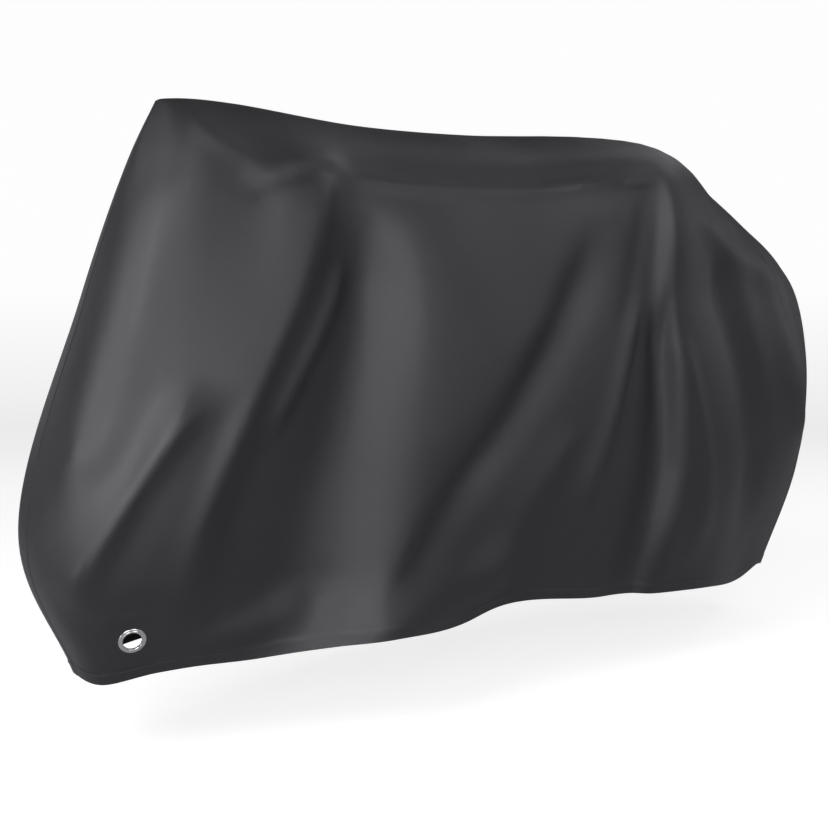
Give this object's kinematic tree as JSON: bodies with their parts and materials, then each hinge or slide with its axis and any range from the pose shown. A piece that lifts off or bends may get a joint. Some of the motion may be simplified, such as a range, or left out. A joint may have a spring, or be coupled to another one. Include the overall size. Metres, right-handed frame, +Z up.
{
  "type": "bicycle cover",
  "caption": "Fitted cloth cover as it hangs over a bicycle, which is left out: open along the hem, with a metal lock eyelet on each side at the rear.",
  "frame": {"origin": "the saddle's rest point: the inner face of the cloth's top, above the bicycle's saddle", "axes": "+X towards the front wheel, +Z up, -Y towards the side with the deep folds"},
  "size_m": [1.8329, 0.6515, 0.8994],
  "materials": {
    "cover_cloth": "satin-sheen coated polyester cloth, black",
    "plated_eyelet": "bright plated metal"
  },
  "bodies": {
    "root": {"cover_cloth": "cover_cloth", "eyelet_band": "cover_cloth", "eyelet_near": "plated_eyelet", "eyelet_far": "plated_eyelet"}
  },
  "joints": []
}
